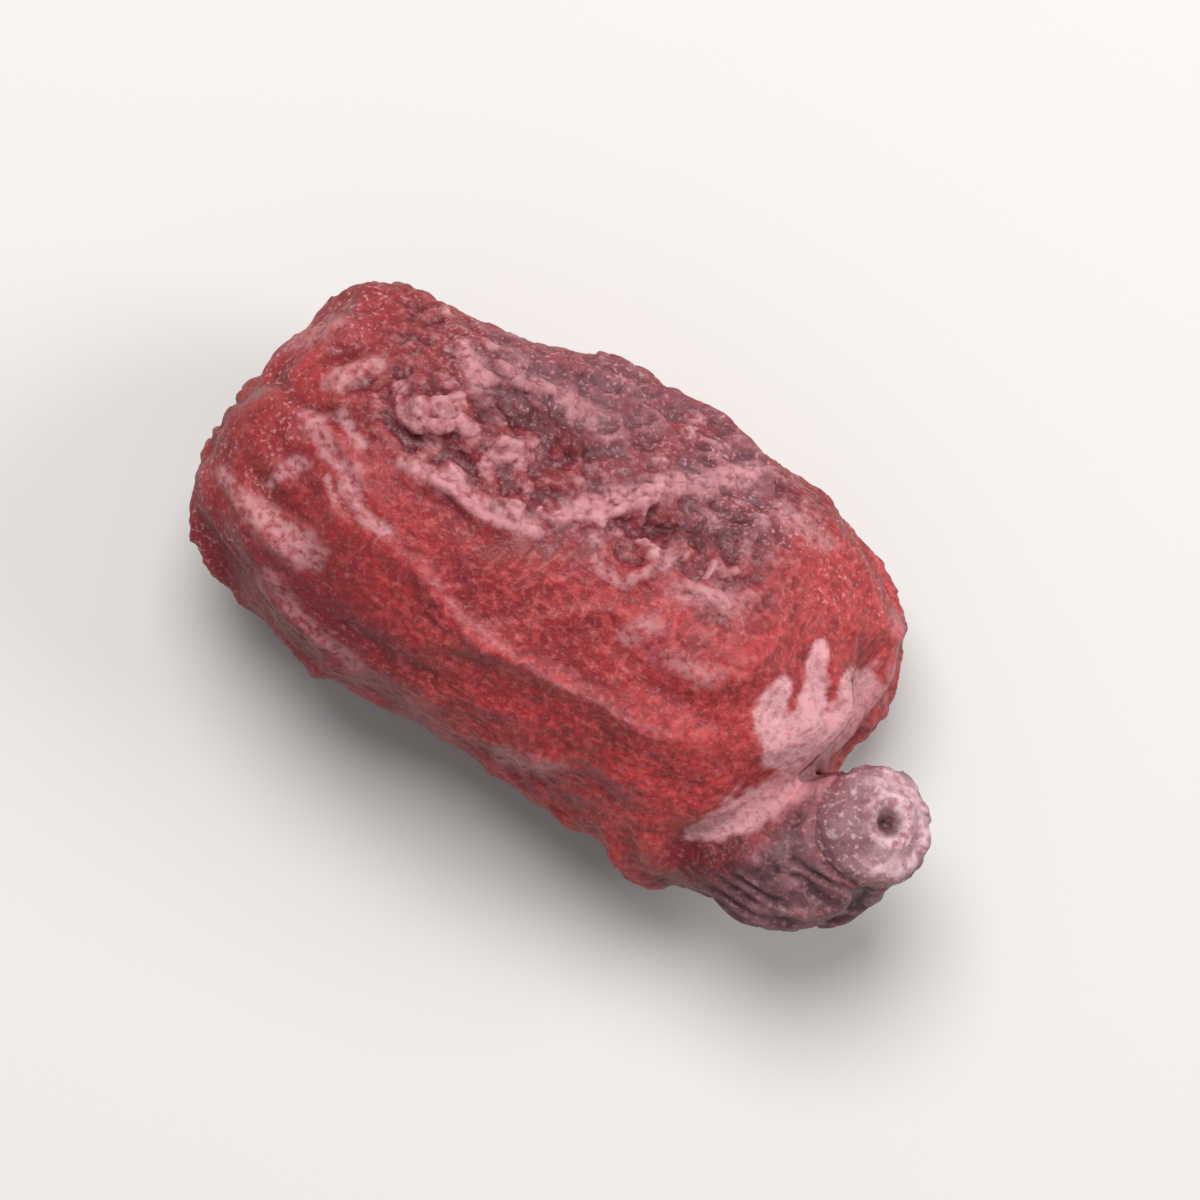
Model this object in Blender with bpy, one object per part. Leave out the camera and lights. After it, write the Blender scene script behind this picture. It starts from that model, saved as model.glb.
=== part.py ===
"""One dried barberry lying on its side: the shrivelled fruit, with the stigma knob kept at its tip.

The fruit, its knob and its stalk scar grew as one piece, so they are one closed solid. The long axis
runs along X, from the stalk scar at -X to the knob at +X. The origin is on the surface that the fruit
lies on, under the middle of its box.
"""

import math

import bmesh
import bpy
import numpy as np
from mathutils import Matrix, Vector, noise

METRES_PER_MM = 0.001

# Driving dimensions, in millimetres and degrees
OVERALL_LENGTH = 9.0
KNOB_END_REACH = 3.70
SCAR_END_REACH = 3.92
BODY_HALF_WIDTH = 2.18
BODY_HALF_HEIGHT = 1.92
KNOB_END_BLUNTNESS = 3.4
SCAR_END_BLUNTNESS = 3.0
SECTION_SQUARENESS = 2.15
BOW = 0.26
FLAT_SPOT_DEPTH = 0.10
FLAT_SPOT_SNAP = 0.004

# The blunt +X end leans: its lower y side and its top are set back
END_LEAN_Y = 0.33
END_LEAN_Z = 0.32
END_LEAN_LEVEL_Y = 0.5

# The knob's thick neck leaves the +X end off centre and curves up to a disc, which looks up and aside
NECK_CENTRE_Y = -1.00
NECK_CENTRE_Z = -0.05
NECK_ROOT_RADIUS = 1.10
NECK_LEAVING = 0.62
NECK_ARRIVING = 0.50
DISC_CENTRE = Vector((4.36, -0.09, 1.08))
DISC_DIRECTION = Vector((0.24, 0.42, 0.87)).normalized()
DISC_DEPTH = 0.36
KNOB_LENGTH = 1.45
KNOB_BLEND_LENGTH = 0.25

# Knob from the pit in its disc, over the disc's rim, to the neck's root: distance along it, radius
KNOB_OUTLINE = [
    (1.20, 0.00),
    (1.22, 0.08),
    (1.37, 0.13),
    (1.44, 0.20),
    (1.39, 0.30),
    (1.42, 0.43),
    (1.45, 0.55),
    (1.38, 0.66),
    (1.25, 0.69),
    (1.13, 0.66),
    (1.00, 0.65),
    (0.80, 0.71),
    (0.55, 0.80),
    (0.30, 0.88),
    (0.10, 0.96),
]
# Stalk scar, from its raised rim to the bottom of its hollow: distance outwards, radius
SCAR_OUTLINE = [(-0.04, 0.60), (0.05, 0.47), (0.08, 0.37), (0.00, 0.28), (-0.16, 0.20), (-0.24, 0.0)]
SCAR_CENTRE_Y = -0.34
SCAR_CENTRE_Z = 0.10
SCAR_ROOT_RADIUS = 0.60
SCAR_SHOULDER_RADIUS = 0.70

# The tight corner under the neck has little relief, so that the skin doesn't fold through itself
CALM_CORNER = (3.1, -1.9, -0.2)
CALM_REACH = 0.6

# The cleft between the fruit's end and the neck, where the skin has dried round and shallow
CLEFT_CENTRE = Vector((3.42, -0.20, 0.62))
CLEFT_REACH = 0.85
CLEFT_ROUNDS = 110

# Fineness of the swept surface, and what is left of it once its flatter parts are simplified
OUTLINE_POINTS = 120
RINGS = 220
SEGMENTS = 240
KNOB_RING_SHARE = 0.25
SCAR_RING_SHARE = 0.06
SOFTENING_ROUNDS = 1
MOST_TRIANGLES = 11800

# Shrivelled skin: heights in millimetres, and how many of each pattern go into one millimetre
LENGTHWISE_STRETCH = 0.52
WARP_REACH = 0.55
LUMP_HEIGHT = 0.17
LUMPS_PER_MM = 0.55
PANEL_RELIEF = 0.16
PANELS_PER_MM = 0.85
SIDE_CREASE_HEIGHT = 0.15
TOP_CREASE_HEIGHT = 0.06
CREASES_PER_MM = 0.95
WORM_HEIGHT = 0.095
WORMS_PER_MM = 1.5
UNDERSIDE_CALM = 0.45

# Places where the skin has fallen in (minus) or is pushed out: x, y, z, reach, height
PUSHES = [
    (-1.7, 2.3, 0.3, 0.95, -0.24),
    (0.1, 2.45, 0.3, 0.75, 0.13),
    (2.3, 2.3, 0.2, 0.80, 0.09),
    (-1.6, -2.1, 0.0, 1.20, 0.29),
    (3.6, 1.2, 0.0, 0.60, 0.11),
    (-3.3, 1.5, 0.6, 0.55, 0.10),
    (-2.9, -0.2, 1.7, 0.60, -0.10),
    (0.9, -0.1, 2.0, 0.75, -0.09),
    (1.5, -1.5, 1.1, 0.65, -0.10),
    (2.6, 1.3, 1.5, 0.55, -0.10),
    (2.0, 0.6, 1.9, 0.50, 0.08),
    (3.3, 0.0, 0.80, 0.62, 0.50),
    (-0.6, -1.3, 1.6, 0.70, 0.07),
    (-0.4, 1.1, 1.7, 0.80, -0.09),
]

# Folds (plus) and furrows (minus) of the sides and the underside: path in x, y and z, half width, height
SIDE_FOLDS = [
    ([(-2.9, 2.0, 0.1), (-1.0, 2.4, -0.3), (1.2, 2.5, -0.3), (2.9, 2.0, 0.1)], 0.32, -0.17),
    ([(-2.2, 2.1, 0.9), (-0.4, 2.5, 0.6), (1.2, 2.5, 0.5), (2.6, 2.2, 0.9)], 0.17, 0.10),
    ([(-2.7, 1.8, -0.9), (-0.8, 2.1, -1.1), (1.0, 2.2, -0.9), (2.4, 1.9, -0.8)], 0.16, 0.10),
    ([(-3.2, -1.6, 0.2), (-1.2, -2.0, 0.4), (0.8, -2.0, 0.2), (2.6, -1.8, 0.4)], 0.14, 0.10),
    ([(-2.7, -1.8, -0.5), (-0.6, -2.0, -0.7), (1.0, -2.0, -0.6), (2.5, -1.6, -0.5)], 0.26, -0.14),
    ([(-2.2, -1.5, -1.2), (0.0, -1.7, -1.3), (2.0, -1.5, -1.2)], 0.15, 0.09),
    ([(-3.1, 0.9, -1.5), (-1.2, 1.35, -1.7), (0.4, 1.2, -1.85), (2.6, 1.1, -1.5)], 0.26, -0.18),
    ([(-2.8, -0.9, -1.6), (-0.9, -1.2, -1.75), (1.4, -1.0, -1.8), (3.0, -0.7, -1.4)], 0.24, -0.16),
    ([(-3.7, 0.9, -0.9), (-3.2, 0.3, -1.6), (-2.6, 0.2, -1.8)], 0.20, -0.12),
    ([(2.7, 0.2, -1.7), (3.3, 0.3, -1.2), (3.7, 0.4, -0.6)], 0.22, -0.14),
]
PUCKER_COUNT = 9
PUCKER_HEIGHT = 0.055
NECK_FOLD_COUNT = 7
NECK_FOLD_HEIGHT = 0.055
KNOB_LUMP_SIZE = 0.38
KNOB_LUMP_HEIGHT = 0.06

# Ridges (plus) and furrows (minus) on the upper side: path in x and y, half width, height
STROKES = [
    # the long thin ridge that runs most of the fruit's length
    ([(-2.4, -0.58), (-1.2, -0.56), (-0.6, -0.75), (0.4, -0.79), (1.4, -0.70), (2.2, -0.50)], 0.080, 0.100),
    ([(-0.9, -1.02), (0.2, -1.06), (1.3, -1.00)], 0.20, -0.06),
    # the slanting ridge of the wrinkled half, with the furrow beside it
    ([(-0.45, 0.55), (0.20, 1.20), (0.70, 1.75), (1.05, 2.15)], 0.11, 0.10),
    ([(0.25, 0.75), (0.75, 1.25), (1.15, 1.65), (1.45, 1.95)], 0.11, -0.08),
    ([(1.25, 1.35), (1.45, 1.75), (1.60, 2.15)], 0.10, 0.05),
    # three short parallel ridges near the stalk end
    ([(-3.05, 0.16), (-2.50, 0.03), (-1.85, -0.25)], 0.070, 0.085),
    ([(-2.95, -0.10), (-2.45, -0.24), (-1.75, -0.50)], 0.065, 0.080),
    ([(-2.90, -0.34), (-2.50, -0.44), (-2.10, -0.60)], 0.060, 0.060),
    # the bent ridge below them
    ([(-3.70, -0.86), (-3.20, -1.05), (-2.80, -1.16), (-2.30, -1.16)], 0.11, 0.095),
    ([(-3.60, -0.62), (-3.00, -0.78), (-2.45, -0.86)], 0.12, -0.065),
    # the notch that runs in from the stalk end, and the lumps over it
    ([(-4.05, 0.30), (-3.40, 0.26), (-2.60, 0.34)], 0.09, -0.12),
    ([(-3.55, 0.62), (-3.05, 0.72), (-2.75, 1.10)], 0.16, 0.09),
    ([(-3.45, 1.25), (-3.00, 1.32)], 0.13, 0.06),
    # worm-like ridges of the wrinkled half
    ([(-2.45, 1.30), (-2.25, 0.85), (-1.95, 0.70), (-1.70, 0.95), (-1.95, 1.15)], 0.090, 0.110),
    ([(-1.95, 0.42), (-1.75, 0.28), (-1.35, 0.38), (-0.85, 0.28), (-0.55, 0.48)], 0.090, 0.120),
    ([(-1.45, 1.10), (-1.15, 0.95), (-0.95, 1.10), (-1.05, 1.35)], 0.090, 0.110),
    ([(-2.20, 1.62), (-1.80, 1.50), (-1.50, 1.65), (-1.10, 1.80), (-0.70, 1.85)], 0.090, 0.110),
    ([(-1.75, 1.95), (-1.35, 2.10), (-0.90, 2.15)], 0.085, 0.090),
    ([(-0.75, 1.35), (-0.35, 1.60), (-0.10, 2.00)], 0.090, 0.095),
    ([(0.05, 0.90), (0.22, 0.62), (0.50, 0.48), (0.72, 0.68), (0.70, 1.00)], 0.075, 0.085),
    ([(-0.25, 2.25), (0.10, 2.05), (0.45, 2.30)], 0.085, 0.080),
    ([(-1.30, 1.42), (-0.75, 1.10), (-0.60, 0.75)], 0.11, -0.10),
    ([(-2.60, 0.72), (-2.25, 0.50), (-1.55, 0.62), (-0.95, 0.68)], 0.09, -0.11),
    # soft forked ridges towards the knob end
    ([(1.30, 0.68), (1.55, 0.92), (1.90, 1.00)], 0.10, 0.060),
    ([(2.05, 1.45), (2.25, 0.95), (2.10, 0.35), (1.75, -0.10)], 0.13, 0.060),
    ([(2.10, 0.35), (2.45, 0.05), (2.55, -0.45)], 0.13, 0.055),
    ([(1.30, -0.28), (1.90, -0.24), (2.40, -0.32)], 0.12, -0.060),
    # folds drawn together at the neck
    ([(2.55, 1.05), (2.95, 0.65), (3.20, 0.25)], 0.08, -0.075),
    ([(2.75, -0.30), (3.10, -0.36), (3.45, -0.42)], 0.09, -0.13),
    ([(2.85, 0.95), (3.30, 0.70), (3.60, 0.25)], 0.15, 0.070),
    ([(2.65, -1.30), (2.90, -0.95), (3.30, -0.60)], 0.14, 0.070),
    ([(3.05, -1.50), (3.40, -1.15), (3.60, -0.95)], 0.08, -0.070),
    ([(2.95, 1.60), (3.35, 1.20), (3.65, 0.70)], 0.08, -0.060),
    # lines along the lower edge
    ([(-2.60, -1.55), (-1.90, -1.82), (-1.20, -1.90), (-0.60, -1.80)], 0.10, 0.075),
    ([(-1.40, -1.62), (-0.90, -1.66)], 0.10, 0.05),
    ([(0.50, -1.85), (0.85, -1.68), (1.10, -1.55)], 0.09, 0.070),
    ([(-2.20, -1.42), (-1.20, -1.48), (-0.20, -1.42)], 0.12, -0.060),
]


def smooth_step(low, high, values):
    """0 at low and 1 at high, with an even curve between them; works on arrays."""
    share = np.clip((values - low) / (high - low), 0, 1)
    return share * share * (3 - 2 * share)


def cut_corners(path, rounds):
    """A softer path: each corner is replaced by two points a quarter of the way along its sides."""
    for _ in range(rounds):
        softer = [path[0]]
        for (a, b), (c, d) in zip(path, path[1:]):
            softer.append((a * 0.75 + c * 0.25, b * 0.75 + d * 0.25))
            softer.append((a * 0.25 + c * 0.75, b * 0.25 + d * 0.75))
        softer.append(path[-1])
        path = softer
    return path


def spread(path, count_share):
    """Arc length along a path, scaled to the share of the rings that the path is given."""
    points = np.array(path)
    lengths = np.hypot(*np.diff(points, axis=0).T)
    distance = np.concatenate([[0], np.cumsum(lengths)])
    return distance / distance[-1] * count_share


def outline():
    """The straightened fruit's outline: share of the rings, x, radius."""
    knob = [(KNOB_END_REACH + along, radius) for along, radius in KNOB_OUTLINE]
    body = []
    first = math.asin((NECK_ROOT_RADIUS / BODY_HALF_WIDTH) ** (KNOB_END_BLUNTNESS / 2))
    last = math.pi - math.asin((SCAR_SHOULDER_RADIUS / BODY_HALF_WIDTH) ** (SCAR_END_BLUNTNESS / 2))
    for angle in np.linspace(first, last, OUTLINE_POINTS):
        power, reach = 2 / SCAR_END_BLUNTNESS, -SCAR_END_REACH
        if angle < math.pi / 2:
            power, reach = 2 / KNOB_END_BLUNTNESS, KNOB_END_REACH
        across = math.sin(angle) ** power
        body.append((abs(math.cos(angle)) ** power * reach, across * BODY_HALF_WIDTH))
    scar = [(-SCAR_END_REACH - outwards, radius) for outwards, radius in SCAR_OUTLINE]
    path = cut_corners(knob + body + scar, 2)
    points = np.array(path)
    knob_end = int(np.argmax(points[:, 0] < KNOB_END_REACH - 0.02))
    scar_start = int(np.argmax((points[:, 0] < 0) & (points[:, 1] < SCAR_SHOULDER_RADIUS)))
    knob_spread = spread(path[: knob_end + 1], KNOB_RING_SHARE)
    body_spread = spread(path[knob_end : scar_start + 1], 1 - KNOB_RING_SHARE - SCAR_RING_SHARE)
    scar_spread = spread(path[scar_start:], SCAR_RING_SHARE)
    shares = np.concatenate([
        knob_spread,
        KNOB_RING_SHARE + body_spread[1:],
        1 - SCAR_RING_SHARE + scar_spread[1:],
    ])
    return shares, points[:, 0], points[:, 1]


def narrowing(radius, least_radius):
    """0 where the fruit has its full girth, 1 where it has narrowed to the least radius."""
    share = (BODY_HALF_WIDTH - radius) / (BODY_HALF_WIDTH - least_radius)
    return (smooth_step(0, 1, share) + np.clip(share, 0, 1)) / 2


def knob_ring(along):
    """Centre and turn of the knob's ring that is a given distance out from the fruit's end."""
    root = Vector((
        KNOB_END_REACH + END_LEAN_Y * (NECK_CENTRE_Y - END_LEAN_LEVEL_Y) - END_LEAN_Z * NECK_CENTRE_Z,
        NECK_CENTRE_Y,
        NECK_CENTRE_Z,
    ))
    leaving = Vector((1, -END_LEAN_Y, END_LEAN_Z)).normalized()
    settle = Vector((1, 0, 0)).rotation_difference(leaving).to_matrix()
    neck_length = KNOB_LENGTH - DISC_DEPTH
    if along <= 0:
        return root + leaving * along, settle
    if along >= neck_length:
        turn = leaving.rotation_difference(DISC_DIRECTION).to_matrix()
        return DISC_CENTRE - DISC_DIRECTION * (KNOB_LENGTH - along), turn @ settle
    arrival = DISC_CENTRE - DISC_DIRECTION * DISC_DEPTH
    first_pull = root + leaving * NECK_LEAVING
    last_pull = arrival - DISC_DIRECTION * NECK_ARRIVING
    t = along / neck_length
    rest = 1 - t
    centre = root * rest**3 + first_pull * 3 * rest**2 * t + last_pull * 3 * rest * t**2 + arrival * t**3
    direction = (first_pull - root) * rest**2 + (last_pull - first_pull) * 2 * rest * t
    direction += (arrival - last_pull) * t**2
    turn = leaving.rotation_difference(direction.normalized()).to_matrix()
    return centre, turn @ settle


def swept_form(polar, azimuth):
    """Plain form of the fruit, with its knob bent over, and how far each point is out along the neck."""
    shares, outline_x, outline_radius = outline()
    x = np.interp(polar, shares, outline_x)
    radius = np.interp(polar, shares, outline_radius)
    body = smooth_step(0.65, 1.7, radius)
    squareness = 2 + (SECTION_SQUARENESS - 2) * body
    section = np.abs(np.cos(azimuth)) ** squareness + np.abs(np.sin(azimuth)) ** squareness
    section **= -1 / squareness
    height_share = 1 + (BODY_HALF_HEIGHT / BODY_HALF_WIDTH - 1) * body
    y_out = radius * section * np.cos(azimuth)
    z_out = radius * section * np.sin(azimuth) * height_share

    bow = BOW * (1 - np.clip(np.abs(x) / 4, 0, 1) ** 2)
    to_neck = np.where(x > 0, narrowing(radius, NECK_ROOT_RADIUS - 0.1), 0)
    to_scar = np.where(x < 0, narrowing(radius, SCAR_ROOT_RADIUS), 0)
    centre_y = bow * (1 - to_neck - to_scar) + NECK_CENTRE_Y * to_neck + SCAR_CENTRE_Y * to_scar
    centre_z = NECK_CENTRE_Z * to_neck + SCAR_CENTRE_Z * to_scar
    y = centre_y + y_out
    z = centre_z + z_out
    lean = smooth_step(0.8, 3.6, x)
    body_x = x + lean * (END_LEAN_Y * (y - END_LEAN_LEVEL_Y) - END_LEAN_Z * z)
    points = np.stack([body_x, y, z], axis=1)

    along = x - KNOB_END_REACH
    for i in np.flatnonzero(along > -KNOB_BLEND_LENGTH):
        centre, turn = knob_ring(float(along[i]))
        placed = centre + turn @ Vector((0, y_out[i], z_out[i]))
        share = float(smooth_step(-KNOB_BLEND_LENGTH, 0.0, along[i]))
        points[i] = points[i] * (1 - share) + np.array(placed) * share
    return points, along, body, radius


def ridged(point, scale, offset):
    """1 along the noise's zero lines, falling away on both sides: the crest of a crease."""
    level = noise.noise(point * scale + offset) * 3.2
    return 1 - min(1.0, math.hypot(level, 0.12))


def wander(point):
    """A smooth random vector for a point, the same in every run."""
    return Vector((
        noise.noise(point + Vector((9.3, -1.5, -7.9))),
        noise.noise(point),
        noise.noise(point + Vector((-6.2, 0.1, 12.5))),
    ))


def shrivelling(point, normal, body):
    """Height of the shrivelled skin over the plain form at one point."""
    bent = point + wander(point * 0.55) * WARP_REACH
    # patterns are stretched along the fruit, as the skin shrinks more around it than along it
    drawn = Vector((bent.x * LENGTHWISE_STRETCH, bent.y, bent.z))
    height = LUMP_HEIGHT * noise.noise(drawn * LUMPS_PER_MM + Vector((4.1, 0.0, 7.3)))
    distances = noise.voronoi(drawn * PANELS_PER_MM + Vector((0.0, 3.7, 1.9)))[0]
    height += PANEL_RELIEF * (0.42 - min(0.62, distances[1] - distances[0]))
    top = float(smooth_step(0.1, 0.75, normal.z))
    below = float(smooth_step(-0.55, -0.95, normal.z))
    creases = ridged(drawn, CREASES_PER_MM, Vector((9.2, 1.4, 0.0))) ** 2
    height += (SIDE_CREASE_HEIGHT + (TOP_CREASE_HEIGHT - SIDE_CREASE_HEIGHT) * top) * (creases - 0.35)
    fine = wander(point * 1.6) * 0.16
    worm = ridged(point + fine, WORMS_PER_MM, Vector((2.7, 8.1, 5.5))) ** 2
    edge = 0.25 + 0.55 * float(smooth_step(-0.6, 0.6, point.x))
    upper_patch = float(smooth_step(edge - 0.15, edge + 0.5, point.y) * smooth_step(2.2, 0.9, point.x))
    patches = float(smooth_step(-0.15, 0.35, noise.noise(point * 0.45 + Vector((0.0, 0.0, 31.0)))))
    roughness = upper_patch * top + patches * (1 - top)
    height += WORM_HEIGHT * roughness * (worm - 0.3)
    height *= 1 - UNDERSIDE_CALM * below
    return height * body


def stroke_height(points, path, half_width, height):
    """Height that one ridge or furrow adds, from the distance to its path, in plan or in space."""
    plan = points[:, : len(path[0])]
    nearest = np.full(len(points), 99.0)
    lengths = [math.dist(a, b) for a, b in zip(path, path[1:])]
    total = sum(lengths)
    position = np.zeros(len(points))
    passed = 0.0
    for (a, b), length in zip(zip(path, path[1:]), lengths):
        start = np.array(a)
        way = (np.array(b) - start) / length
        along = np.clip((plan - start) @ way, 0, length)
        distance = np.linalg.norm(plan - start - along[:, None] * way, axis=1)
        closer = distance < nearest
        nearest = np.where(closer, distance, nearest)
        position = np.where(closer, passed + along, position)
        passed += length
    taper = np.sin(np.clip(position / total, 0.04, 0.96) * math.pi) ** 0.5
    return height * taper * np.exp(-((nearest / half_width) ** 2))


def add_relief(points, normals, along, body, radius, azimuth):
    """Moves the plain form's points along their normals to the shrivelled skin."""
    heights = np.zeros(len(points))
    for i in np.flatnonzero(body > 0):
        heights[i] = shrivelling(Vector(points[i]), Vector(normals[i]), body[i])
    for x, y, z, reach, height in PUSHES:
        distance = np.linalg.norm(points - np.array([x, y, z]), axis=1)
        heights += height * body * np.exp(-((distance / reach) ** 2))
    upper = smooth_step(0.22, 0.65, normals[:, 2])
    not_knob = smooth_step(0.02, -0.12, along)
    # wavers keep the drawn paths from looking ruled
    waver = np.array([tuple(wander(Vector(p) * 1.3) * 0.11) for p in points])
    for path, half_width, height in STROKES:
        heights += upper * not_knob * stroke_height(points + waver, path, half_width, height)
    for path, half_width, height in SIDE_FOLDS:
        heights += not_knob * stroke_height(points + waver * 2, path, half_width, height)
    # the skin is drawn into small folds around the neck and the stalk scar
    drawn_in = smooth_step(0.60, 1.0, radius) * smooth_step(2.15, 1.5, radius) * not_knob
    drift = np.array([noise.noise(Vector(p) * 0.7) for p in points]) * 3.5
    heights += PUCKER_HEIGHT * drawn_in * np.sin(PUCKER_COUNT * azimuth + drift)
    neck = smooth_step(-0.1, 0.25, along) * smooth_step(KNOB_LENGTH - DISC_DEPTH, 0.6, along)
    heights += NECK_FOLD_HEIGHT * neck * np.sin(NECK_FOLD_COUNT * azimuth + drift * 1.5)
    corner_distance = np.linalg.norm(points - np.array(CALM_CORNER), axis=1)
    heights *= 1 - 0.85 * np.exp(-((corner_distance / CALM_REACH) ** 2))
    for i in np.flatnonzero(body < 1):
        lumps = noise.noise(Vector(points[i]) / KNOB_LUMP_SIZE + Vector((5.0, 0.0, 0.0)))
        heights[i] += KNOB_LUMP_HEIGHT * lumps * (1 - body[i])
    return points + normals * heights[:, None]


def read_normals(bm):
    bm.normal_update()
    return np.array([v.normal for v in bm.verts])


def place_points(bm, points):
    for vertex, point in zip(bm.verts, points):
        vertex.co = point


def simplified(mesh, most_triangles):
    """The same surface with fewer triangles where it is flatter."""
    helper = bpy.data.objects.new("helper", mesh)
    bpy.context.scene.collection.objects.link(helper)
    decimate = helper.modifiers.new("fewer", "DECIMATE")
    decimate.ratio = most_triangles / len(mesh.polygons)
    result = bpy.data.meshes.new_from_object(helper.evaluated_get(bpy.context.evaluated_depsgraph_get()))
    bpy.data.objects.remove(helper)
    return result


def smooth(bm, vertices):
    bmesh.ops.smooth_vert(bm, verts=vertices, factor=0.5, use_axis_x=True, use_axis_y=True, use_axis_z=True)


def build_berry():
    bm = bmesh.new()
    bmesh.ops.create_uvsphere(bm, u_segments=SEGMENTS, v_segments=RINGS, radius=1.0)
    bmesh.ops.rotate(bm, verts=bm.verts, matrix=Matrix.Rotation(math.pi / 2, 3, "Y"))
    ball = np.array([v.co for v in bm.verts])
    polar = np.arccos(np.clip(ball[:, 0], -1, 1)) / math.pi
    azimuth = np.arctan2(ball[:, 2], ball[:, 1])
    points, along, body, radius = swept_form(polar, azimuth)
    place_points(bm, points)
    points = add_relief(points, read_normals(bm), along, body, radius, azimuth)

    place_points(bm, points)
    for _ in range(SOFTENING_ROUNDS):
        smooth(bm, bm.verts)
    # later rounds reach less far from the cleft, so that the rounding has no edge
    for reach in np.linspace(CLEFT_REACH, CLEFT_REACH / 3, CLEFT_ROUNDS):
        smooth(bm, [v for v in bm.verts if (v.co - CLEFT_CENTRE).length < reach])

    # The fruit rests on a small flat spot, under its middle
    floor = min(v.co.z for v in bm.verts) + FLAT_SPOT_DEPTH
    for vertex in bm.verts:
        vertex.co.z = max(vertex.co.z, floor)
    bmesh.ops.triangulate(bm, faces=bm.faces)
    full = bpy.data.meshes.new("full")
    bm.to_mesh(full)
    bm.free()

    mesh = simplified(full, MOST_TRIANGLES)
    mesh.name = "berry"
    co = np.array([v.co for v in mesh.vertices])
    low, high = co.min(axis=0), co.max(axis=0)
    scale = OVERALL_LENGTH / (high[0] - low[0])
    co -= np.array([(low[0] + high[0]) / 2, (low[1] + high[1]) / 2, low[2]])
    # what the simplifying left a hair off the flat spot goes back onto it
    co[:, 2] = np.where(co[:, 2] < FLAT_SPOT_SNAP, 0.0, co[:, 2])
    co *= scale * METRES_PER_MM
    mesh.vertices.foreach_set("co", co.ravel())
    mesh.update()
    mesh.shade_smooth()
    return mesh


def dried_skin():
    material = bpy.data.materials.new("dried_barberry_skin")
    material.use_nodes = True
    shader = material.node_tree.nodes["Principled BSDF"]
    shader.inputs["Base Color"].default_value = (0.457, 0.077, 0.082, 1.0)
    shader.inputs["Roughness"].default_value = 0.6
    return material


def main():
    for old in list(bpy.data.objects):
        bpy.data.objects.remove(old)
    mesh = build_berry()
    mesh.materials.append(dried_skin())
    berry = bpy.data.objects.new("berry", mesh)
    bpy.context.scene.collection.objects.link(berry)


if __name__ == "__main__":
    main()
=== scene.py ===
# %% [markdown]
# # A dried barberry
# A barberry dries from a taut, juicy berry to a small shrivelled one. Its skin keeps its size while the
# flesh under it shrinks, so it is thrown into folds, creases and fine worm-like wrinkles. This script
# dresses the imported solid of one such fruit. The solid already has the outline, the big folds, the
# stigma knob and the stalk scar, so the first step is to load it as the frame that never moves.

# %% Load the solid
import math

import bmesh
import bpy
import numpy as np
from mathutils import Matrix, Vector, noise


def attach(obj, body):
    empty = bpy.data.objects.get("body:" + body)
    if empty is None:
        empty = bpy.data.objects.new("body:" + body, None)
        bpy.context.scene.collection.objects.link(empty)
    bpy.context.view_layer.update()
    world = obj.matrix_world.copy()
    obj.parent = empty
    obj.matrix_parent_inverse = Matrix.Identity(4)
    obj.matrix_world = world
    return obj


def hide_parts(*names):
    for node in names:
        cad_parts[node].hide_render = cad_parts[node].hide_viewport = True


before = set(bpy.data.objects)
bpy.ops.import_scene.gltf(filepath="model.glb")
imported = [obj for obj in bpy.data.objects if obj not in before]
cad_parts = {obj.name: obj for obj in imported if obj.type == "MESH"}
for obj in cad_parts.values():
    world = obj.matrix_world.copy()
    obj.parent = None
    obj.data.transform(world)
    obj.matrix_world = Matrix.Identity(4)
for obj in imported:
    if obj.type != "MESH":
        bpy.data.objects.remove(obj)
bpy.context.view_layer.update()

# %% [markdown]
# ## A copy to dress
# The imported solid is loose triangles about 0.13 mm across, too coarse for fine wrinkles. Subdividing
# them would keep their facets. A voxel remesh gives even cells all over instead, which also makes the
# wrinkles in the next steps simple to grow, as every vertex then has neighbours at the same distance.
# The cells, in millimetres, are as fine as they can be with the skin under 200,000 triangles.
# Blender's tools lose accuracy on a fruit a few thousandths of a metre long, so the copy is worked in
# millimetres and only turned back into metres at the end.

# %% Weld and remesh the copy
CELL = 0.0415

copy = bmesh.new()
copy.from_mesh(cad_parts["berry"].data)
bmesh.ops.remove_doubles(copy, verts=copy.verts, dist=1e-7)
bmesh.ops.scale(copy, vec=(1000, 1000, 1000), verts=copy.verts)
for layer in list(copy.loops.layers.uv):
    copy.loops.layers.uv.remove(layer)
welded = bpy.data.meshes.new("welded")
copy.to_mesh(welded)
copy.free()

helper = bpy.data.objects.new("helper", welded)
bpy.context.scene.collection.objects.link(helper)
remesh = helper.modifiers.new("even cells", "REMESH")
remesh.mode = "VOXEL"
remesh.voxel_size = CELL
even = helper.evaluated_get(bpy.context.evaluated_depsgraph_get())
skin_mesh = bpy.data.meshes.new_from_object(even)
bpy.data.objects.remove(helper)
count = len(skin_mesh.vertices)
print("cells:", len(skin_mesh.polygons), "vertices:", count)

# %% [markdown]
# ## Neighbours
# Growing wrinkles, softening facets and finding what is ridge and what is valley all rest on one
# operation: moving each vertex's value towards the mean of its neighbours'. It is written here once,
# with an optional weight for each edge, so that a value can be made to spread further along the fruit
# than around it.

# %% Spreading values over the surface
edges = np.zeros(len(skin_mesh.edges) * 2, np.int64)
skin_mesh.edges.foreach_get("vertices", edges)
one_end, other_end = edges.reshape(-1, 2).T


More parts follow.
